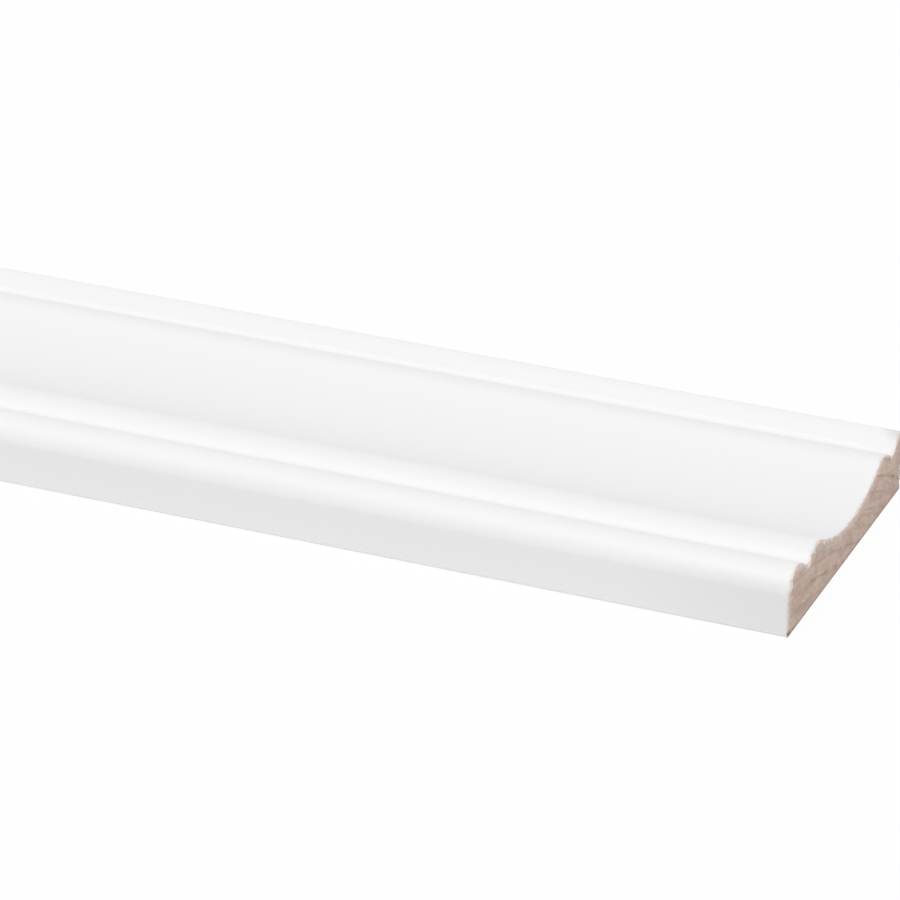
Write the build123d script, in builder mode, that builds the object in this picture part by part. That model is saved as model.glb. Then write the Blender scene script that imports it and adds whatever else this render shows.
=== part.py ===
"""Decorative moulding strip: one length of solid wood, worked to an ornamental section.

The strip lies on its flat underside. +X runs along its length, -Y is the thick front edge
with the large roll, +Y is the back edge, and +Z is up. The origin is the middle of the
underside. All sizes are in millimetres.

Seen on a sawn end, from the front edge to the back, the section has a plain front edge, a
front roll, a narrow quirk, a front bead, a wide cove, a back bead, a second quirk and a back
ovolo. Distances across are measured from the front edge, or from the back edge for the
members that stand beside it. Heights are measured from the underside.
"""

import os
from math import cos, radians, sin, tan

from build123d import *

# Stock
STRIP_LENGTH = 2400.0
STRIP_WIDTH = 70.0
STRIP_THICKNESS = 13.5  # to the crest of the front roll, and to the back arris
ARRIS_RADIUS = 0.5  # eased long edges of the stock

# Front edge and front roll
FRONT_EDGE_HEIGHT = 9.2
FRONT_EDGE_LEAN = 0.4  # the planed edge leans back by this much over its height
ROLL_CREST_ACROSS = 5.5
ROLL_BACK_RADIUS = 4.5

# Quirks: narrow V grooves, one behind the front roll and one behind the back bead
QUIRK_SLOPE = 31.0  # of the long side that runs down into the groove, in degrees
QUIRK_ROOT_RADIUS = 1.8  # the paint fills the groove a little
FRONT_QUIRK_HEIGHT = 10.3  # thickness left under the front quirk
BACK_QUIRK_HEIGHT = 9.4

# Front bead
FRONT_BEAD_WIDTH = 5.3  # from the root of the front quirk to the bead's crest
FRONT_BEAD_HEIGHT = 12.8
FRONT_BEAD_BACK_RADIUS = 6.0

# Cove
COVE_HEIGHT = 7.6  # thickness left under its lowest line
COVE_BALANCE = 0.515  # where its lowest line stands, from the front crest to the back one

# Back bead and back ovolo
BACK_BEAD_FROM_BACK = 11.9  # the crest's distance from the back edge
BACK_BEAD_HEIGHT = 12.5
BACK_BEAD_FRONT_RADIUS = 5.0
BACK_BEAD_BACK_RADIUS = 7.0
OVOLO_SLOPE = 14.0  # of the ovolo's top where it reaches the back arris


def quirk_root(shoulder, height):
    """Root of a quirk of the given height, below a shoulder where its long side starts."""
    run = (shoulder.Y - height) / tan(radians(QUIRK_SLOPE))
    return (shoulder.X + run, height)


def ogee_turn(crest, bottom, crest_radius):
    """Point where the crest's arc hands over to the cove's arc, both level at their far ends.

    It lies on the straight line from the crest to the bottom, by the share that the crest's
    radius has in the sum of the two radii.
    """
    across, drop = bottom[0] - crest[0], crest[1] - bottom[1]
    both_radii = (across**2 + drop**2) / (2 * drop)
    share = crest_radius / both_radii
    return (crest[0] + share * across, crest[1] - share * drop)


# The section's own plane: its origin is the front bottom arris, across is +Y and up is +Z.
section_plane = Plane(origin=(0, -STRIP_WIDTH / 2, 0), x_dir=(0, 1, 0), z_dir=(1, 0, 0))

with BuildPart() as moulding_strip:
    with BuildSketch(section_plane) as section:
        with BuildLine():
            # Front edge and front roll, level at the crest
            front_edge = Line((0, 0), (FRONT_EDGE_LEAN, FRONT_EDGE_HEIGHT))
            roll_crest = (ROLL_CREST_ACROSS, STRIP_THICKNESS)
            TangentArc(roll_crest, front_edge @ 1, tangent=(-1, 0))
            roll_back = JernArc(roll_crest, (1, 0), ROLL_BACK_RADIUS, -QUIRK_SLOPE)
            front_quirk = quirk_root(roll_back @ 1, FRONT_QUIRK_HEIGHT)
            Line(roll_back @ 1, front_quirk)

            # Places of the two beads, and of the cove's lowest line between them
            front_bead = (front_quirk[0] + FRONT_BEAD_WIDTH, FRONT_BEAD_HEIGHT)
            back_bead = (STRIP_WIDTH - BACK_BEAD_FROM_BACK, BACK_BEAD_HEIGHT)
            cove_span = back_bead[0] - front_bead[0]
            cove_bottom = (front_bead[0] + COVE_BALANCE * cove_span, COVE_HEIGHT)

            # Front bead, rising from the quirk and running through an ogee into the cove
            TangentArc(front_bead, front_quirk, tangent=(-1, 0))
            front_turn = ogee_turn(front_bead, cove_bottom, FRONT_BEAD_BACK_RADIUS)
            TangentArc(front_bead, front_turn, tangent=(1, 0))
            TangentArc(cove_bottom, front_turn, tangent=(-1, 0))

            # Cove's back half, running through a second ogee over the back bead to its quirk
            back_turn = ogee_turn(back_bead, cove_bottom, BACK_BEAD_FRONT_RADIUS)
            TangentArc(cove_bottom, back_turn, tangent=(1, 0))
            TangentArc(back_bead, back_turn, tangent=(-1, 0))
            bead_back = JernArc(back_bead, (1, 0), BACK_BEAD_BACK_RADIUS, -QUIRK_SLOPE)
            back_quirk = quirk_root(bead_back @ 1, BACK_QUIRK_HEIGHT)
            Line(bead_back @ 1, back_quirk)

            # Back ovolo, up to the back arris, then the back edge and the underside
            back_arris = (STRIP_WIDTH, STRIP_THICKNESS)
            ovolo_end = (-cos(radians(OVOLO_SLOPE)), -sin(radians(OVOLO_SLOPE)))
            TangentArc(back_arris, back_quirk, tangent=ovolo_end)
            Polyline(back_arris, (STRIP_WIDTH, 0), (0, 0))
        make_face()

        # The cutters leave a small radius in each quirk, and the long edges are eased.
        for corners, radius in (
            ((front_quirk, back_quirk), QUIRK_ROOT_RADIUS),
            (((0, 0), (STRIP_WIDTH, 0), back_arris), ARRIS_RADIUS),
        ):
            for corner in corners:
                fillet(section.vertices().sort_by_distance(corner)[0], radius)
    extrude(amount=STRIP_LENGTH / 2, both=True)

moulding_strip.part.label = "moulding_strip"

os.makedirs("parts", exist_ok=True)
export_step(moulding_strip.part, "parts/moulding_strip.step")
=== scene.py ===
"""Decorative moulding strip: the painted and sawn finish of one length of solid wood.

The strip is drawn again here from its section, with its curves fine enough for close views.
It takes the place of the plain solid, in the same frame: +X along the strip, -Y the thick
front edge, +Z up from the flat underside. Sizes are in metres.
"""

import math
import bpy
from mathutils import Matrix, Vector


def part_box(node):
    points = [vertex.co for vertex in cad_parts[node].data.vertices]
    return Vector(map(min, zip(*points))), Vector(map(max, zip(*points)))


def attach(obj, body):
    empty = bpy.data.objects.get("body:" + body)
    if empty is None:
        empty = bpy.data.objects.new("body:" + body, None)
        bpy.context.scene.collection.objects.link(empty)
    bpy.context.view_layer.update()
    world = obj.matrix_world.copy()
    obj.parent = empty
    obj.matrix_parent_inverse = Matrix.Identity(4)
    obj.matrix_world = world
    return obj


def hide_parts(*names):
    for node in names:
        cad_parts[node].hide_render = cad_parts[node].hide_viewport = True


bl_info = {
    "name": "Decorative Moulding Strip",
    "version": (1, 0, 0),
    "blender": (4, 5, 0),
    "location": "View3D > Sidebar > Moulding",
    "description": "Models a painted wooden moulding strip with bare sawn ends, and its stage",
    "category": "Add Mesh",
}

import bpy
from bpy.props import FloatProperty, FloatVectorProperty, PointerProperty
from mathutils import Vector

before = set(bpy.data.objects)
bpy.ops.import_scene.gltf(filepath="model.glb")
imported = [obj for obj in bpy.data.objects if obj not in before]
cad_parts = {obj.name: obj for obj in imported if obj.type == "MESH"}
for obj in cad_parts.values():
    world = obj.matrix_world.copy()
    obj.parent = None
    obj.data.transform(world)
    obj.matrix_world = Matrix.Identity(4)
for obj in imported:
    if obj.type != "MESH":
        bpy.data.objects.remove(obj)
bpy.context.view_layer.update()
NODE = "moulding_strip"
NODE_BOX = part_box(NODE)
MM = 0.001

END_X = NODE_BOX[1].x  # the sawn end that the camera faces
BACK_Y = NODE_BOX[1].y
NODE_WIDTH = 70.0  # millimetres
FRONT_Y = BACK_Y - NODE_WIDTH * MM

# Marks at that end, and painted shade, each with its place across, its height and its size, in
# millimetres
TORN_SPOTS = (  # where torn film or fibre shows pale
    (1.6, 10.6, 1.2), (0.3, 4.3, 0.9), (12.3, 10.7, 1.3), (15.2, 12.0, 0.9), (21.4, 11.0, 0.8),
)
GREY_ARRIS_SPOT = (NODE_WIDTH, 13.3, 5.0)  # a grey patch on the back arris at the near end
PAINTED_SHADE_SPOT = (0.0, 4.0, 42.0)  # painted shade darkening the front edge towards the near end
DARK_CORNER_SPOT = (0.9, 0.0, 1.7)  # a dark spot at the bottom front corner

RING_WIDTH = 3.35  # millimetres


def length_property(name, description, millimetres):
    return FloatProperty(
        name=name, description=description, default=millimetres * MM, unit="LENGTH", precision=4
    )


def colour_property(name, description, colour):
    return FloatVectorProperty(
        name=name, description=description, default=(*colour, 1), subtype="COLOR", size=4,
        min=0, max=1,
    )


class MouldingSection(bpy.types.PropertyGroup):
    """Sizes of the section. Distances across start at the front edge, heights at the underside."""

    width: length_property("Width", "From the front edge to the back edge", NODE_WIDTH)
    thickness: length_property("Thickness", "To the front roll's crest and the back arris", 13.5)
    arris: length_property("Arris radius", "Eased long edges", 0.5)

    edge_height: length_property("Front edge height", "Flat part of the front edge", 9.2)
    edge_lean: length_property("Front edge lean", "How far the front edge leans back", 0.4)
    roll_crest: length_property("Roll crest", "Front edge to the roll's crest", 5.5)
    roll_back: length_property("Roll back radius", "Arc behind the roll's crest", 4.5)

    quirk_slope: FloatProperty(
        name="Quirk slope", description="Long side of each quirk",
        default=math.radians(31.0), subtype="ANGLE",
    )
    quirk_root: length_property("Quirk root radius", "Radius at the bottom of each quirk", 1.8)
    front_quirk: length_property("Front quirk height", "Wood left under the front quirk", 10.3)
    back_quirk: length_property("Back quirk height", "Wood left under the back quirk", 9.4)

    bead: length_property("Front bead width", "Quirk's root to the bead's crest", 5.3)
    bead_height: length_property("Front bead height", "Underside to the bead's crest", 12.8)
    bead_back: length_property("Front bead back radius", "Arc behind the bead's crest", 6.0)

    cove_height: length_property("Cove height", "Wood left under the cove's lowest line", 7.6)
    cove_balance: FloatProperty(
        name="Cove balance", description="Where the lowest line stands from crest to crest",
        default=0.515, subtype="FACTOR",
    )

    back_bead: length_property("Back bead", "Back edge to the bead's crest", 11.9)
    back_bead_height: length_property("Back bead height", "Underside to its crest", 12.5)
    back_bead_front: length_property("Back bead front radius", "Arc before its crest", 5.0)
    back_bead_back: length_property("Back bead back radius", "Arc behind its crest", 7.0)
    ovolo_slope: FloatProperty(
        name="Back ovolo slope", description="Slope at the back arris",
        default=math.radians(14.0), subtype="ANGLE",
    )


class MouldingFinish(bpy.types.PropertyGroup):
    """Colours of the paint, the bare wood, the marks at the sawn end and the painted shade."""

    paint: colour_property("Paint", "White factory primer", (0.905, 0.896, 0.900))
    paint_shade: colour_property("Paint shade", "Where the film is thinner", (0.892, 0.883, 0.887))
    early_wood: colour_property("Early wood", "Pale part of each ring", (0.65, 0.50, 0.425))
    late_wood: colour_property("Late wood", "Dark part of each ring", (0.44, 0.305, 0.235))
    ring_width: length_property("Ring width", "One year's growth", RING_WIDTH)
    torn_film: colour_property("Torn film", "Paint film's edge and torn fibres", (0.92, 0.87, 0.79))
    # Grey that the paint takes at the patch on the back arris, and as painted shade on the front
    # edge
    greyed: colour_property("Knocked paint", "Bruised or handled paint", (0.70, 0.693, 0.70))
    # Painted contact shadow along the bottom of a sawn end, and the dark spot at its front corner
    contact_shade_and_dark_corner: colour_property("Grime", "Dirt along the bottom of a sawn end", (0.20, 0.175, 0.155))


class MouldingStage(bpy.types.PropertyGroup):
    """The photograph's view and its light."""

    azimuth: FloatProperty(
        name="Azimuth", description="Camera's direction round the strip",
        default=math.radians(22.93), subtype="ANGLE",
    )
    elevation: FloatProperty(
        name="Elevation", description="Camera's height above the horizon",
        default=math.radians(26.63), subtype="ANGLE",
    )
    focal_pixels: FloatProperty(
        name="Focal length", description="In pixels of the 900 by 900 picture", default=4884.0
    )
    corner_depth: length_property("Corner depth", "Camera to the sawn front corner", 953.0)
    soft_light: FloatProperty(
        name="Soft light", description="Overhead light, in watts", default=148.0
    )
    light_tilt: FloatProperty(
        name="Light tilt", description="How far forward of straight overhead the light hangs",
        default=math.radians(24.0), subtype="ANGLE",
    )
    sky: FloatProperty(name="Sky", description="Strength of the light all round", default=0.535)


CHORD = 0.35 * MM  # longest piece of the drawn outline
FACET_TURN = math.radians(12)  # most that a curve turns from one piece to the next


class SectionPen:
    """Draws the section as one chain of edges, in edit mode, from a single vertex."""

    def __init__(self, x, front_y, start):
        self.x, self.front_y = x, front_y
        self.at = start
        bpy.ops.object.select_all(action="DESELECT")
        bpy.ops.mesh.primitive_plane_add(size=MM, location=(x, front_y + start[0], start[1]))
        bpy.ops.object.transform_apply(location=True, rotation=True, scale=True)
        bpy.ops.object.mode_set(mode="EDIT")
        bpy.ops.mesh.select_mode(type="VERT")
        bpy.ops.mesh.select_all(action="SELECT")
        bpy.ops.mesh.merge(type="CENTER")

    def line(self, end):
        """Straight, in short pieces, so that the sawn edge can be torn anywhere along it."""
        pieces = max(1, math.ceil(math.dist(self.at, end) / CHORD))
        step = (0, (end[0] - self.at[0]) / pieces, (end[1] - self.at[1]) / pieces)
        for _ in range(pieces):
            bpy.ops.mesh.extrude_region_move(TRANSFORM_OT_translate={"value": step})
        self.at = end

    def arc(self, end, centre):
        """Round the centre the short way, until the end is in line."""
        radius = math.dist(centre, self.at)
        start_angle = math.atan2(self.at[1] - centre[1], self.at[0] - centre[0])
        end_angle = math.atan2(end[1] - centre[1], end[0] - centre[0])
        turn = (end_angle - start_angle + math.pi) % (2 * math.pi) - math.pi
        steps = max(2, math.ceil(abs(turn) * radius / CHORD), math.ceil(abs(turn) / FACET_TURN))
        bpy.ops.mesh.spin(
            steps=steps, angle=-turn, axis=(1, 0, 0),
            center=(self.x, self.front_y + centre[0], centre[1]),
        )
        self.at = (
            centre[0] + radius * math.cos(end_angle),
            centre[1] + radius * math.sin(end_angle),
        )

    def level_arc(self, crest, end):
        """Arc between a point where it is level and any other point."""
        across, rise = end[0] - crest[0], end[1] - crest[1]
        radius = (across**2 + rise**2) / (2 * rise)
        target = end if math.dist(self.at, crest) < math.dist(self.at, end) else crest
        self.arc(target, (crest[0], crest[1] + radius))

    def rounded(self, corner, onward, radius):
        """Straight to a corner, and round it with a radius, towards the point onward."""
        into = direction(self.at, corner)
        away = direction(corner, onward)
        sideways = into[0] * away[1] - into[1] * away[0]
        turn = math.atan2(sideways, into[0] * away[0] + into[1] * away[1])
        reach = radius * math.tan(abs(turn) / 2)
        first = (corner[0] - reach * into[0], corner[1] - reach * into[1])
        last = (corner[0] + reach * away[0], corner[1] + reach * away[1])
        side = math.copysign(radius, turn)
        self.line(first)
        self.arc(last, (first[0] - side * into[1], first[1] + side * into[0]))

    def quirk(self, root, centre, radius):
        """Down a straight side to a quirk's root, and round it onto the arc about the centre."""
        down = direction(self.at, root)
        reach = math.dist(centre, root) + radius
        foot = (root[0] - radius * down[1], root[1] + radius * down[0])
        apart = (foot[0] - centre[0], foot[1] - centre[1])
        drift = apart[0] * down[0] + apart[1] * down[1]
        climb = drift + math.sqrt(drift**2 + reach**2 - apart[0] ** 2 - apart[1] ** 2)
        middle = (foot[0] - climb * down[0], foot[1] - climb * down[1])
        self.line((middle[0] + radius * down[1], middle[1] - radius * down[0]))
        share = (reach - radius) / reach
        self.arc(tuple(c + share * (m - c) for c, m in zip(centre, middle)), middle)


def direction(start, end):
    """The step of length one from the start towards the end."""
    length = math.dist(start, end)
    return ((end[0] - start[0]) / length, (end[1] - start[1]) / length)


def along(start, slope, run):
    """The point that a straight slope from the start has reached after its run across."""
    return (start[0] + run, start[1] + run * math.tan(slope))


def behind_crest(crest, radius, slope, height):
    """Where a crest's arc runs out into a quirk's straight side, and that quirk's root."""
    shoulder = (crest[0] + radius * math.sin(slope), crest[1] - radius * (1 - math.cos(slope)))
    return shoulder, along(shoulder, -slope, (shoulder[1] - height) / math.tan(slope))


def ogee_turn(crest, bottom, crest_radius):
    """Where a crest's arc hands over to the cove's, both level at their far ends."""
    across, drop = bottom[0] - crest[0], crest[1] - bottom[1]
    share = crest_radius * 2 * drop / (across**2 + drop**2)
    return (crest[0] + share * across, crest[1] - share * drop)


def draw_section(s, x):
    """The outline of the section at x, from the front bottom arris over the top and back."""
    pen = SectionPen(x, BACK_Y - s.width, (2 * s.arris, 0))
    edge_top = (s.edge_lean, s.edge_height)
    pen.rounded((0, 0), edge_top, s.arris)
    pen.line(edge_top)

    roll_crest = (s.roll_crest, s.thickness)
    shoulder, front_root = behind_crest(roll_crest, s.roll_back, s.quirk_slope, s.front_quirk)
    pen.level_arc(roll_crest, edge_top)
    pen.level_arc(roll_crest, shoulder)

    bead = (front_root[0] + s.bead, s.bead_height)
    back_bead = (s.width - s.back_bead, s.back_bead_height)
    cove = (bead[0] + s.cove_balance * (back_bead[0] - bead[0]), s.cove_height)
    rise = s.bead_height - s.front_quirk
    bead_front = (s.bead**2 + rise**2) / (2 * rise)
    pen.quirk(front_root, (bead[0], bead[1] - bead_front), s.quirk_root)
    pen.level_arc(bead, front_root)
    front_turn = ogee_turn(bead, cove, s.bead_back)
    pen.level_arc(bead, front_turn)
    pen.level_arc(cove, front_turn)
    back_turn = ogee_turn(back_bead, cove, s.back_bead_front)
    pen.level_arc(cove, back_turn)
    pen.level_arc(back_bead, back_turn)
    shoulder, back_root = behind_crest(back_bead, s.back_bead_back, s.quirk_slope, s.back_quirk)
    pen.level_arc(back_bead, shoulder)

    # The ovolo's arc leaves the back arris at its own slope and ends in the quirk's root.
    back_arris = (s.width, s.thickness)
    level = (math.cos(s.ovolo_slope), math.sin(s.ovolo_slope))
    chord = (back_root[0] - back_arris[0], back_root[1] - back_arris[1])
    across_chord = chord[0] * level[1] - chord[1] * level[0]
    radius = (chord[0] ** 2 + chord[1] ** 2) / (2 * across_chord)
    centre = (back_arris[0] + radius * level[1], back_arris[1] - radius * level[0])
    pen.quirk(back_root, centre, s.quirk_root)
    pen.arc(along(back_arris, s.ovolo_slope, -1.5 * s.arris), centre)
    pen.rounded(back_arris, (s.width, 0), s.arris)
    pen.rounded((s.width, 0), (0, 0), s.arris)
    pen.line((2 * s.arris, 0))


# Rings that are cut round the strip, measured back from each sawn end
END_CUTS = [v * MM for v in (0.8, 1.3, 2.0, 4.0, 9.0, 20.0, 45.0, 100.0, 250.0, 600.0)]
RIM_WIDTH = 0.45 * MM  # band round the sawn face where paint and torn fibres meet
TEAR_DEPTH = 0.40 * MM  # most that the saw broke the painted edge back
TEAR_GRAIN = 1.1 * MM  # size of the torn places
CLEAN_HEIGHT = 0.3 * MM  # the bottom edge lay on the saw's table and came out clean
TEAR_SHARE = (0.34, 0.50)  # the texture's values for the full depth and for none
SMOOTH_ANGLE = math.radians(28)
TINY = 0.01 * MM
SQUARE_ON = 0.9  # a face looks along an axis if its normal has more than this share of it
PAINT, SAWN, PLANED = range(3)  # order of the strip's materials


def is_sawn(face):
    return abs(face.normal.x) > SQUARE_ON


def is_underside(face):
    return face.normal.z < -SQUARE_ON


def select_only(mesh, wanted):
    """Selects the faces that the test wants and leaves the mesh in edit mode."""
    bpy.ops.mesh.select_all(action="DESELECT")
    bpy.ops.object.mode_set(mode="OBJECT")
    for face in mesh.polygons:
        face.select = wanted(face)
    bpy.ops.object.mode_set(mode="EDIT")
    bpy.ops.mesh.select_mode(type="FACE")


class MOULDING_OT_strip(bpy.types.Operator):
    """Model the strip: draw its section, run it out to length, saw its ends and finish it"""

    bl_idname = "moulding.strip"
    bl_label = "Moulding Strip"
    bl_options = {"REGISTER", "UNDO"}

    def execute(self, context):
        draw_section(context.scene.moulding_section, -END_X)
        bpy.ops.mesh.select_all(action="SELECT")
        bpy.ops.mesh.remove_doubles(threshold=0.1 * TINY)
        bpy.ops.mesh.edge_face_add()
        bpy.ops.mesh.extrude_region_move(TRANSFORM_OT_translate={"value": (2 * END_X, 0, 0)})
        bpy.ops.mesh.select_all(action="SELECT")
        bpy.ops.mesh.normals_make_consistent(inside=False)
        for back in END_CUTS:
            for x in (END_X - back, back - END_X):
                bpy.ops.mesh.select_all(action="SELECT")
                bpy.ops.mesh.bisect(plane_co=(x, 0, 0), plane_no=(1, 0, 0))

        strip = context.object
        strip.name = strip.data.name = "painted_strip"
        select_only(strip.data, is_sawn)
        bpy.ops.mesh.inset(thickness=RIM_WIDTH, use_even_offset=True)
        bpy.ops.object.mode_set(mode="OBJECT")
        self.tear_edges(strip)
        self.finish_faces(context, strip)
        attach(strip, "root")
        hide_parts(NODE)
        return {"FINISHED"}

    def tear_edges(self, strip):
        """Marks the outline of each sawn end, and pulls it back unevenly as the saw left it."""
        mesh = strip.data
        outline = {
            v
            for face in mesh.polygons if not is_sawn(face)
            for v in face.vertices if abs(mesh.vertices[v].co.x) > END_X - TINY
        }
        rim = mesh.attributes.new("rim", "FLOAT", "POINT")
        rim.data.foreach_set("value", [float(v.index in outline) for v in mesh.vertices])
        grain = bpy.data.textures.new("torn edge", "CLOUDS")
        grain.noise_scale, grain.noise_depth = TEAR_GRAIN, 2
        grain.use_color_ramp = True
        for stop, level, share in zip(grain.color_ramp.elements, (0, 1), TEAR_SHARE):
            stop.color, stop.position = (level, level, level, 1), share
        torn = [v for v in outline if mesh.vertices[v].co.z > CLEAN_HEIGHT]
        for name, side in (("near rim", 1), ("far rim", -1)):
            group = strip.vertex_groups.new(name=name)
            group.add([v for v in torn if mesh.vertices[v].co.x * side > 0], 1.0, "REPLACE")
            tear = strip.modifiers.new(name, "DISPLACE")
            tear.texture, tear.texture_coords = grain, "LOCAL"
            tear.vertex_group, tear.direction = name, "X"
            tear.mid_level, tear.strength = 1.0, side * TEAR_DEPTH
            bpy.ops.object.modifier_apply(modifier=name)

    def finish_faces(self, context, strip):
        """Gives each face its material, and shades the curves smooth."""
        mesh = strip.data
        growth_rings_group()
        edge_spot_group()
        mesh.materials.append(primer_paint(context))
        mesh.materials.append(sawn_end(context, strip))
        mesh.materials.append(planed_underside(context))
        for face in mesh.polygons:
            if is_underside(face):
                face.material_index = PLANED
            elif is_sawn(face):
                face.material_index = SAWN
            else:
                face.material_index = PAINT
        bpy.ops.object.shade_smooth_by_angle(angle=SMOOTH_ANGLE)


GRID_X, GRID_Y = 190, 170  # spacing of the nodes in the editor


def place(tree, kind, x, y, **settings):
    """Adds a node at a grid place and sets its properties."""
    node = tree.nodes.new(kind)
    node.location = (x * GRID_X, -y * GRID_Y)
    for name, value in settings.items():
        setattr(node, name, value)
    return node


def feed(tree, node, **inputs):
    """Fills a node's sockets by name or number: a socket is linked, and a value is set."""
    for name, value in inputs.items():
        key = int(name[1:]) if name.startswith("_") else name.replace("_", " ")
        socket = node.inputs[key]
        if isinstance(value, bpy.types.NodeSocket):
            tree.links.new(value, socket)
        else:
            socket.default_value = value
    return node


def maths(tree, operation, x, y, *values, clamp=False):
    node = place(tree, "ShaderNodeMath", x, y, operation=operation, use_clamp=clamp)
    feed(tree, node, **{f"_{i}": v for i, v in enumerate(values)})
    return node.outputs[0]


def vector_maths(tree, operation, x, y, *values, output=0):
    node = place(tree, "ShaderNodeVectorMath", x, y, operation=operation)
    feed(tree, node, **{f"_{i}": v for i, v in enumerate(values)})
    return node.outputs[output]


def ramp(tree, x, y, factor, stops):
    """Smooth step: from the low to the high factor, it goes from one value out to the other."""
    node = place(tree, "ShaderNodeMapRange", x, y, interpolation_type="SMOOTHSTEP")
    low, high, out_low, out_high = stops
    feed(tree, node, Value=factor, From_Min=low, From_Max=high, To_Min=out_low, To_Max=out_high)
    return node.outputs[0]


def parts_of(tree, x, y, vector):
    return feed(tree, place(tree, "ShaderNodeSeparateXYZ", x, y), Vector=vector).outputs


def grain_noise(tree, x, y, vector, scale, detail=2.0, roughness=0.5):
    """Noise with the given number of grains to the metre."""
    node = place(tree, "ShaderNodeTexNoise", x, y)
    feed(tree, node, Vector=vector, Scale=scale, Detail=detail, Roughness=roughness)
    return node.outputs[0]


def blend(tree, x, y, factor, low, high, mode="MIX"):
    node = place(tree, "ShaderNodeMix", x, y, data_type="RGBA", blend_type=mode)
    feed(tree, node, _0=factor, _6=low, _7=high)
    return node.outputs[2]


def new_group(name, inputs, outputs):
    """An empty node group with named sockets, and its input and output nodes."""
    tree = bpy.data.node_groups.new(name, "ShaderNodeTree")
    for label, kind, default in inputs:
        socket = tree.interface.new_socket(name=label, in_out="INPUT", socket_type=kind)
        socket.default_value = default
    for label, kind in outputs:
        tree.interface.new_socket(name=label, in_out="OUTPUT", socket_type=kind)
    return tree, place(tree, "NodeGroupInput", 0, 0), place(tree, "NodeGroupOutput", 12, 0)


def use_group(tree, name, x, y, **inputs):
    node = place(tree, "ShaderNodeGroup", x, y, node_tree=bpy.data.node_groups[name])
    feed(tree, node, **inputs)
    return node.outputs


def new_material(name):
    """A material with an empty tree but for its shader, and the position on the piece."""
    material = bpy.data.materials.new(name)
    material.use_nodes = True
    tree = material.node_tree
    shader = tree.nodes["Principled BSDF"]
    shader.location = (10 * GRID_X, 0)
    tree.nodes["Material Output"].location = (12 * GRID_X, 0)
    position = place(tree, "ShaderNodeTexCoord", 0, 0).outputs["Object"]
    return material, tree, shader, position


HEART = (FRONT_Y - 15.0 * MM, -144.6 * MM)  # of the log: in front of the strip and far below it
HEART_REACH = 155.0 * MM  # from the heart to the middle of the section
RING_WANDER = 1.6 * MM  # most that a ring strays from a true circle

# Scales of each noise along the strip, which draw its marks out lengthwise
LOG_GRAIN, STAIN_GRAIN, PAINT_GRAIN = 0.04, 0.05, 0.02


def growth_rings_group():
    """Rings about the log's heart: dark late wood, fine fibres and broad mottles along them."""
    tree, enter, leave = new_group(
        "Growth Rings",
        [
            ("Position", "NodeSocketVector", (0, 0, 0)),
            ("Ring Width", "NodeSocketFloat", RING_WIDTH * MM),
        ],
        [(name, "NodeSocketFloat") for name in ("Late Wood", "Fibre", "Mottle")],
    )
    at = parts_of(tree, 1, 0, enter.outputs["Position"])
    across = maths(tree, "SUBTRACT", 2, 0, at["Y"], HEART[0])
    up = maths(tree, "SUBTRACT", 2, 1, at["Z"], HEART[1])
    across_squared = maths(tree, "MULTIPLY", 3, 1, across, across)
    up_squared = maths(tree, "MULTIPLY", 3, 2, up, up)
    radius = maths(tree, "ADD", 3, 0, across_squared, up_squared)
    radius = maths(tree, "SQRT", 4, 0, radius)
    turn = maths(tree, "ARCTAN2", 3, 3, across, up)
    in_log = place(tree, "ShaderNodeCombineXYZ", 5, 1)
    feed(tree, in_log, X=maths(tree, "MULTIPLY", 4, 2, at["X"], LOG_GRAIN))
    feed(tree, in_log, Y=maths(tree, "MULTIPLY", 4, 3, turn, HEART_REACH), Z=radius)
    in_log = in_log.outputs[0]

    # The late wood darkens slowly and stops at once. Each year has its own strength.
    wander = grain_noise(tree, 6, 2, in_log, 90.0, 5.0, 0.6)
    years = maths(tree, "MULTIPLY_ADD", 7, 2, wander, RING_WANDER, radius)
    years = maths(tree, "DIVIDE", 7, 1, years, enter.outputs["Ring Width"])
    phase = maths(tree, "FRACT", 8, 1, years)
    rise = ramp(tree, 9, 0, phase, (0.66, 0.92, 0.0, 1.0))
    stop = ramp(tree, 9, 1, phase, (0.93, 1.0, 1.0, 0.0))
    year = place(tree, "ShaderNodeTexWhiteNoise", 8, 3, noise_dimensions="1D")
    feed(tree, year, W=maths(tree, "FLOOR", 8, 2, years))
    patches = ramp(tree, 9, 4, grain_noise(tree, 8, 4, in_log, 260.0), (0.38, 0.62, 0.15, 1.0))
    strength = maths(tree, "MULTIPLY_ADD", 9, 3, year.outputs[0], 0.6, 0.4)
    strength = maths(tree, "MULTIPLY", 10, 3, strength, patches)
    late = maths(tree, "MULTIPLY", 10, 0, rise, stop)
    late = maths(tree, "MULTIPLY", 10, 1, late, strength)

    fibre = grain_noise(tree, 6, 4, in_log, 2300.0, 3.0, 0.6)
    long_way = vector_maths(tree, "MULTIPLY", 6, 5, in_log, (1, 0.35, 1))
    mottle = grain_noise(tree, 7, 5, long_way, 620.0, 3.0, 0.6)
    feed(tree, leave, Late_Wood=late, Fibre=fibre, Mottle=mottle)


# What the wood's colour is multiplied by, from one side of each kind of mark to the other
MOTTLE_TINTS = ((0.89, 0.87, 0.86, 1), (1.08, 1.09, 1.10, 1))
STAIN_TINTS = ((1.03, 0.99, 0.98, 1), (0.98, 1.01, 1.0, 1))  # pink sap and greyer wood
PORE_TINTS = ((0.86, 0.84, 0.82, 1), (1.04, 1.05, 1.06, 1))


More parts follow.
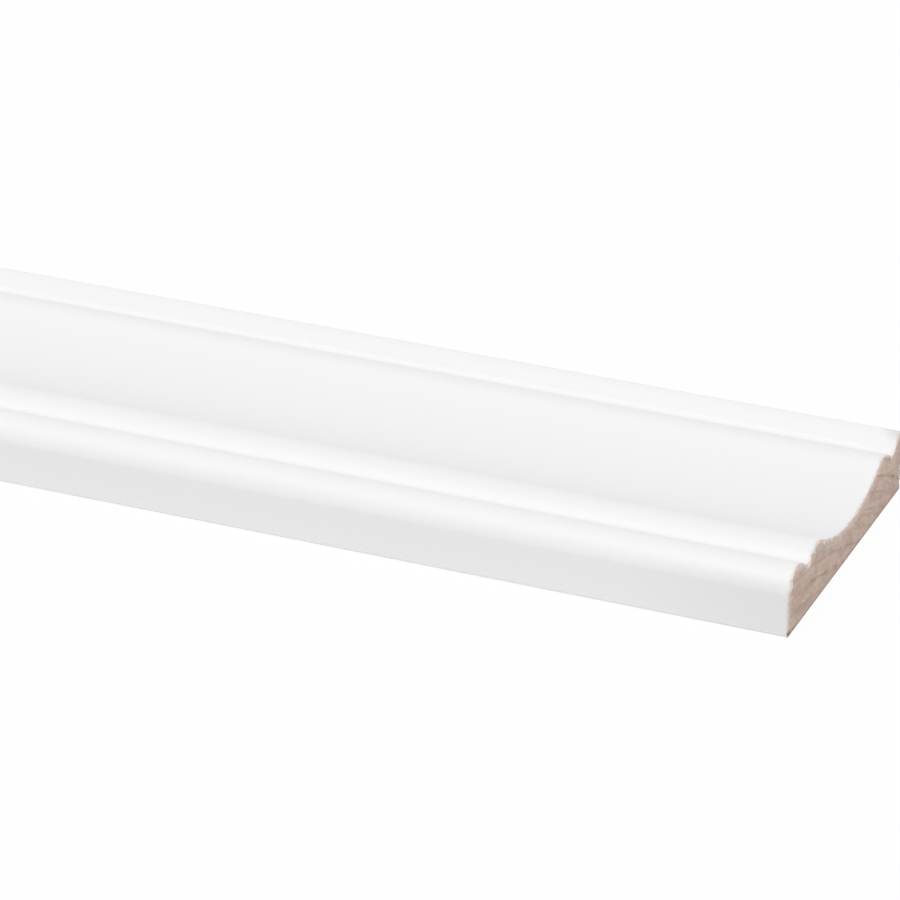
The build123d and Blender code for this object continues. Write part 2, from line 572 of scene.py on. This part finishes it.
def bare_wood(tree, context, position):
    """Colour of bare wood, and its masks, shared by the sawn ends and the underside."""
    finish = context.scene.moulding_finish
    rings = use_group(
        tree, "Growth Rings", 1, 0, Position=position, Ring_Width=finish.ring_width
    )
    wood = blend(tree, 2, 0, rings["Late Wood"], finish.early_wood, finish.late_wood)
    mottle = ramp(tree, 2, 2, rings["Mottle"], (0.32, 0.68, 0.0, 1.0))
    mottle = blend(tree, 3, 2, mottle, *MOTTLE_TINTS)
    wood = blend(tree, 4, 0, 1.0, wood, mottle, "MULTIPLY")
    grainwise = vector_maths(tree, "MULTIPLY", 1, 3, position, (STAIN_GRAIN, 1, 1))
    stain = ramp(tree, 2, 4, grain_noise(tree, 2, 3, grainwise, 260.0), (0.38, 0.62, 0.0, 1.0))
    stain = blend(tree, 3, 3, stain, *STAIN_TINTS)
    wood = blend(tree, 4, 1, 1.0, wood, stain, "MULTIPLY")
    pore = ramp(tree, 2, 1, rings["Fibre"], (0.28, 0.62, 0.0, 1.0))
    pore = blend(tree, 3, 1, pore, *PORE_TINTS)
    return blend(tree, 5, 0, 1.0, wood, pore, "MULTIPLY"), rings


def edge_spot_group():
    """A round spot on the near sawn end, at a place across and a height, with a ragged edge."""
    tree, enter, leave = new_group(
        "Edge Spot",
        [
            ("Position", "NodeSocketVector", (0, 0, 0)),
            ("Across", "NodeSocketFloat", 0.0),
            ("Height", "NodeSocketFloat", 0.0),
            ("Size", "NodeSocketFloat", MM),
            ("Ragged", "NodeSocketFloat", 0.5),
            ("Softness", "NodeSocketFloat", 0.4),
        ],
        [("Spot", "NodeSocketFloat")],
    )
    middle = place(tree, "ShaderNodeCombineXYZ", 2, 1)
    across = maths(tree, "ADD", 1, 1, enter.outputs["Across"], FRONT_Y)
    feed(tree, middle, X=END_X, Y=across, Z=enter.outputs["Height"])
    position = enter.outputs["Position"]
    reach = vector_maths(tree, "DISTANCE", 3, 0, position, middle.outputs[0], output=1)
    share = maths(tree, "DIVIDE", 4, 0, reach, enter.outputs["Size"])
    torn = grain_noise(tree, 3, 2, position, 1300.0, 3.0, 0.6)
    torn = maths(tree, "SUBTRACT", 4, 2, torn, 0.5)
    share = maths(tree, "MULTIPLY_ADD", 5, 0, torn, enter.outputs["Ragged"], share)
    edge = place(tree, "ShaderNodeMapRange", 6, 0, interpolation_type="SMOOTHSTEP")
    solid = maths(tree, "SUBTRACT", 5, 2, 1.0, enter.outputs["Softness"])
    feed(tree, edge, Value=share, From_Min=solid, From_Max=1.0, To_Min=1.0, To_Max=0.0)
    feed(tree, leave, Spot=edge.outputs[0])


def edge_spot(tree, x, y, position, spot, ragged=1.6, softness=0.4):
    """Mask of a spot that is given by its place across, its height and its size in millimetres."""
    across, height, size = (value * MM for value in spot)
    return use_group(
        tree, "Edge Spot", x, y, Position=position, Across=across, Height=height, Size=size,
        Ragged=ragged, Softness=softness,
    )["Spot"]


PAINTED_SHADE_BAND = (0.6 * MM, 2.0 * MM)  # behind the front edge, where the painted shade fades out
PAINTED_SHADE_STRENGTH = 0.24  # strength of the painted shade on the front edge
FLAKE_REACH = (0.5 * MM, 1.2 * MM)  # along the strip, least and most, from a sawn end
FLAKED = 0.7  # how far the film has gone right at the end


def primer_paint(context):
    """Factory primer on the worked faces: a thin satin film, chipped where the saw came out."""
    material, tree, shader, position = new_material("White primer")
    finish = context.scene.moulding_finish
    grainwise = vector_maths(tree, "MULTIPLY", 1, 1, position, (PAINT_GRAIN, 1, 1))
    peel = grain_noise(tree, 2, 2, position, 900.0, 2.0)
    telegraphed = grain_noise(tree, 2, 3, grainwise, 1400.0, 2.0)
    film = maths(tree, "MULTIPLY_ADD", 3, 2, telegraphed, 0.6, peel)
    tone = grain_noise(tree, 2, 4, grainwise, 60.0, 2.0)
    paint = blend(tree, 4, 0, tone, finish.paint_shade, finish.paint)

    # The paint turns grey on the back arris at the near end, and painted shade darkens the front
    # edge towards that end.
    at = parts_of(tree, 1, 5, position)
    greyed = edge_spot(tree, 3, 4, position, GREY_ARRIS_SPOT, 0.5, 1.0)
    paint = blend(tree, 5, 0, greyed, paint, finish.greyed)
    # Painted shade: the front face is blended towards grey near the sawn end.
    painted_front_shade = edge_spot(tree, 3, 8, position, PAINTED_SHADE_SPOT, 0.0, 1.0)
    start, end = (FRONT_Y + behind for behind in PAINTED_SHADE_BAND)
    painted_shade_face = ramp(tree, 3, 9, at["Y"], (start, end, PAINTED_SHADE_STRENGTH, 0.0))
    painted_front_shade = maths(tree, "MULTIPLY", 4, 8, painted_front_shade, painted_shade_face)
    paint = blend(tree, 5, 1, painted_front_shade, paint, finish.greyed)

    # Next to a sawn end the film has flaked off unevenly.
    from_end = maths(tree, "SUBTRACT", 3, 5, END_X, maths(tree, "ABSOLUTE", 2, 5, at["X"]))
    flakes = grain_noise(tree, 3, 6, position, 900.0, 3.0, 0.6)
    reach = ramp(tree, 4, 6, flakes, (0.35, 0.75, *FLAKE_REACH))
    flaked = maths(tree, "DIVIDE", 5, 5, from_end, reach)
    flaked = ramp(tree, 5, 6, flaked, (0.1, 1.0, FLAKED, 0.0))
    flaked_colour = blend(tree, 5, 7, 0.5, finish.torn_film, finish.early_wood)
    colour = blend(tree, 6, 0, flaked, paint, flaked_colour)
    bump = place(tree, "ShaderNodeBump", 7, 3)
    feed(tree, bump, Strength=0.15, Distance=0.02 * MM, Height=film)
    feed(tree, shader, Base_Color=colour, Roughness=0.5, Normal=bump.outputs[0])
    return material


DUST = 0.5  # share of torn film on the wood right under the outline
DUST_REACH = 2.4 * MM  # down to where it has gone
BACK_DUST = 0.45  # of that share, from the back bead on
CONTACT_SHADE_BAND = (0.15 * MM, 0.45 * MM)  # heights between which the painted contact shadow fades out
CONTACT_SHADE_STRENGTH = 0.75  # strength of the painted contact shadow along the bottom edge


def sawn_end(context, strip):
    """End grain, rough from the saw, with the paint film's broken edge round it."""
    material, tree, shader, position = new_material("Sawn end grain")
    finish, section = context.scene.moulding_finish, context.scene.moulding_section
    wood, rings = bare_wood(tree, context, position)
    at = parts_of(tree, 1, 11, position)
    across = maths(tree, "SUBTRACT", 2, 11, at["Y"], FRONT_Y)
    depth = depth_in_outline(tree, 3, 11, across, at["Z"], top_line(strip, section), section)
    dust = dust_mask(tree, position, depth, across, section.width - section.back_bead)
    film = maths(tree, "MAXIMUM", 8, 10, torn_edge_mask(tree, position), dust)
    colour = blend(tree, 7, 0, film, wood, finish.torn_film)

    # Painted contact shadow along the bottom edge, and a dark spot at the front corner.
    line = ramp(tree, 5, 10, at["Z"], (*CONTACT_SHADE_BAND, CONTACT_SHADE_STRENGTH, 0.0))
    corner = edge_spot(tree, 5, 9, position, DARK_CORNER_SPOT, 0.4, 0.8)
    contact_shade_and_dark_corner = maths(tree, "MAXIMUM", 6, 10, line, corner)
    colour = blend(tree, 8, 0, contact_shade_and_dark_corner, colour, finish.contact_shade_and_dark_corner)

    rough = maths(tree, "MULTIPLY_ADD", 6, 2, rings["Mottle"], 1.5, rings["Fibre"])
    bump = place(tree, "ShaderNodeBump", 8, 2)
    feed(tree, bump, Strength=0.5, Distance=0.12 * MM, Height=rough)
    feed(tree, shader, Base_Color=colour, Roughness=0.85, Normal=bump.outputs[0])
    return material


def torn_edge_mask(tree, position):
    """The film's broken edge: a pale line of uneven width, with a few larger torn spots."""
    rim = place(tree, "ShaderNodeAttribute", 3, 4, attribute_name="rim").outputs["Fac"]
    flakes = grain_noise(tree, 3, 5, position, 1100.0, 3.0, 0.6)
    width = ramp(tree, 4, 5, flakes, (0.40, 0.75, 0.92, 0.15))
    flake = maths(tree, "SUBTRACT", 4, 4, rim, width)
    flake = ramp(tree, 5, 4, flake, (0.0, 0.12, 0.0, 0.85))
    fuzz = maths(tree, "MULTIPLY", 5, 3, rim, 0.5)
    film = maths(tree, "MAXIMUM", 6, 3, flake, fuzz)
    for row, spot in enumerate(TORN_SPOTS, 4):
        torn = edge_spot(tree, 4, row + 2, position, spot)
        film = maths(tree, "MAXIMUM", 6, row, film, torn)
    return film


def dust_mask(tree, position, depth, across, back_bead):
    """Paler wood below the outline, in patches, and less of it from the back bead on."""
    dust = maths(tree, "MULTIPLY_ADD", 7, 11, depth, -DUST / DUST_REACH, DUST, clamp=True)
    patches = ramp(tree, 7, 12, grain_noise(tree, 6, 12, position, 450.0), (0.35, 0.65, 0.7, 1.3))
    fading = ramp(tree, 7, 13, across, (back_bead - 2 * MM, back_bead + 2 * MM, 1.0, BACK_DUST))
    patches = maths(tree, "MULTIPLY", 8, 12, patches, fading)
    return maths(tree, "MULTIPLY", 8, 11, patches, dust)


def top_line(strip, section):
    """Points of the moulded outline, from front to back, as shares of its width and thickness.

    They are read from the near end of the mesh, between its front edge and its back arris.
    Every fourth one is enough.
    """
    points = sorted(
        ((v.co.y - FRONT_Y) / section.width, v.co.z / section.thickness)
        for v, mark in zip(strip.data.vertices, strip.data.attributes["rim"].data)
        if mark.value > 0.5 and v.co.x > 0 and v.co.z > 0.9 * section.cove_height
    )
    ends = 1.2 * section.arris / section.width
    return [point for point in points if ends < point[0] < 1 - ends][::4]


def depth_in_outline(tree, x, y, across, height, points, section):
    """How deep a place on a sawn end lies below the moulded outline or behind the front edge."""
    line = place(tree, "ShaderNodeFloatCurve", x + 1, y)
    curve = line.mapping.curves[0]
    for end, point in zip(curve.points, (points[0], points[-1])):
        end.location = point
    for point in points[1:-1]:
        curve.points.new(*point)
    for point in curve.points:
        point.handle_type = "VECTOR"
    line.mapping.update()
    feed(tree, line, Value=maths(tree, "DIVIDE", x, y, across, section.width))
    top = maths(tree, "MULTIPLY", x + 2, y, line.outputs[0], section.thickness)
    below = maths(tree, "SUBTRACT", x + 3, y, top, height)
    return maths(tree, "MINIMUM", x + 3, y + 1, below, across)


def planed_underside(context):
    """The underside, planed and left bare."""
    material, tree, shader, position = new_material("Planed underside")
    wood, rings = bare_wood(tree, context, position)
    bump = place(tree, "ShaderNodeBump", 8, 2)
    feed(tree, bump, Strength=0.3, Distance=0.05 * MM, Height=rings["Fibre"])
    feed(tree, shader, Base_Color=wood, Roughness=0.7, Normal=bump.outputs[0])
    return material


def straight_sight(tree, x, y):
    """1 for a ray that the camera sees, straight, in a reflection or through glass."""
    sight = place(tree, "ShaderNodeLightPath", x, y).outputs
    mirror = maths(tree, "MAXIMUM", x + 1, y, sight["Is Glossy Ray"], sight["Is Transmission Ray"])
    return maths(tree, "MAXIMUM", x + 1, y + 1, sight["Is Camera Ray"], mirror)


PICTURE_SIDE = 900  # pixels
SENSOR_SIDE = 36.0  # millimetres
CORNER_PIXEL = (786.9, 638.5)  # the sawn end's front bottom corner in the picture
NEAR_CLIP = 0.01
FLOOR_SIZE = 60.0
FLOOR_DROP = 0.02 * MM  # keeps the floor's plane off the underside's
FLOOR_WHITE = 0.96  # share of plain white in the floor, as the camera sees it
LAMP_DISTANCE = 5.0
LAMP_SIZE = (5.0, 3.5)


class MOULDING_OT_stage(bpy.types.Operator):
    """Set the strip on a pale floor, with soft light and the photograph's view"""

    bl_idname = "moulding.stage"
    bl_label = "Moulding Stage"
    bl_options = {"REGISTER", "UNDO"}

    def execute(self, context):
        stage = context.scene.moulding_stage
        self.floor(context)
        self.light(context, stage)
        self.camera(context, stage)
        context.scene.view_settings.view_transform = "Standard"
        return {"FINISHED"}

    def floor(self, context):
        """Lays a floor that looks white and takes faint shadows."""
        bpy.ops.object.select_all(action="DESELECT")
        bpy.ops.mesh.primitive_plane_add(size=FLOOR_SIZE, location=(0, 0, -FLOOR_DROP))
        bpy.ops.object.transform_apply(location=True, rotation=False, scale=False)
        floor = context.object
        floor.name = floor.data.name = "studio_floor"
        material, tree, shader, position = new_material("Studio floor")
        feed(tree, shader, Base_Color=(0.85, 0.85, 0.85, 1), Roughness=0.9)
        white = place(tree, "ShaderNodeEmission", 10, 3)
        seen = straight_sight(tree, 8, 3)
        mix = place(tree, "ShaderNodeMixShader", 11, 1)
        tree.links.new(maths(tree, "MULTIPLY", 9, 4, seen, FLOOR_WHITE), mix.inputs[0])
        tree.links.new(shader.outputs[0], mix.inputs[1])
        tree.links.new(white.outputs[0], mix.inputs[2])
        tree.links.new(mix.outputs[0], tree.nodes["Material Output"].inputs["Surface"])
        floor.data.materials.append(material)

    def light(self, context, stage):
        """Lights the strip evenly from all round, and from a large lamp over the sawn end."""
        world = bpy.data.worlds.new("Studio")
        context.scene.world = world
        world.use_nodes = True
        tree = world.node_tree
        sky = tree.nodes["Background"]
        seen = straight_sight(tree, 0, 0)
        level = place(tree, "ShaderNodeMapRange", 2, 0)
        feed(tree, level, Value=seen, To_Min=stage.sky, To_Max=1.0)
        feed(tree, sky, Color=(1, 1, 1, 1), Strength=level.outputs[0])
        tilt = stage.light_tilt
        above = Vector((0, -math.sin(tilt), math.cos(tilt))) * LAMP_DISTANCE
        bpy.ops.object.light_add(type="AREA", location=Vector((END_X, 0, 0)) + above)
        lamp = context.object
        lamp.name = "soft_overhead"
        lamp.data.shape = "RECTANGLE"
        lamp.data.size, lamp.data.size_y = LAMP_SIZE
        lamp.data.energy = stage.soft_light
        lamp.visible_camera = False

    def camera(self, context, stage):
        """Stands the camera so that the sawn front corner falls on its own pixel."""
        az, el = stage.azimuth, stage.elevation
        back = Vector((math.sin(az) * math.cos(el), -math.cos(az) * math.cos(el), math.sin(el)))
        right = Vector((math.cos(az), math.sin(az), 0))
        up = back.cross(right)
        across, down = (
            (pixel - PICTURE_SIDE / 2) / stage.focal_pixels * stage.corner_depth
            for pixel in CORNER_PIXEL
        )
        corner = Vector((END_X, BACK_Y - context.scene.moulding_section.width, 0))
        place_at = corner - across * right + down * up + stage.corner_depth * back
        bpy.ops.object.camera_add(location=place_at, rotation=(math.pi / 2 - el, 0, az))
        camera = context.object
        camera.data.sensor_width = SENSOR_SIDE
        camera.data.lens = stage.focal_pixels / PICTURE_SIDE * SENSOR_SIDE
        camera.data.clip_start = NEAR_CLIP
        context.scene.camera = camera


class MOULDING_PT_panel(bpy.types.Panel):
    """The strip, its finish and its stage"""

    bl_idname = "MOULDING_PT_panel"
    bl_label = "Decorative Moulding Strip"
    bl_space_type = "VIEW_3D"
    bl_region_type = "UI"
    bl_category = "Moulding"

    def draw(self, context):
        scene = context.scene
        for operator, settings in (
            (MOULDING_OT_strip, scene.moulding_section),
            (MOULDING_OT_strip, scene.moulding_finish),
            (MOULDING_OT_stage, scene.moulding_stage),
        ):
            box = self.layout.box()
            for name in settings.__annotations__:
                box.prop(settings, name)
            box.operator(operator.bl_idname)


CLASSES = (
    MouldingSection, MouldingFinish, MouldingStage,
    MOULDING_OT_strip, MOULDING_OT_stage, MOULDING_PT_panel,
)


def register():
    for cls in CLASSES:
        bpy.utils.register_class(cls)
    bpy.types.Scene.moulding_section = PointerProperty(type=MouldingSection)
    bpy.types.Scene.moulding_finish = PointerProperty(type=MouldingFinish)
    bpy.types.Scene.moulding_stage = PointerProperty(type=MouldingStage)


def unregister():
    for name in ("moulding_stage", "moulding_finish", "moulding_section"):
        delattr(bpy.types.Scene, name)
    for cls in reversed(CLASSES):
        bpy.utils.unregister_class(cls)


def main():
    register()
    bpy.ops.moulding.strip()
    bpy.ops.moulding.stage()


if __name__ == "__main__":
    main()
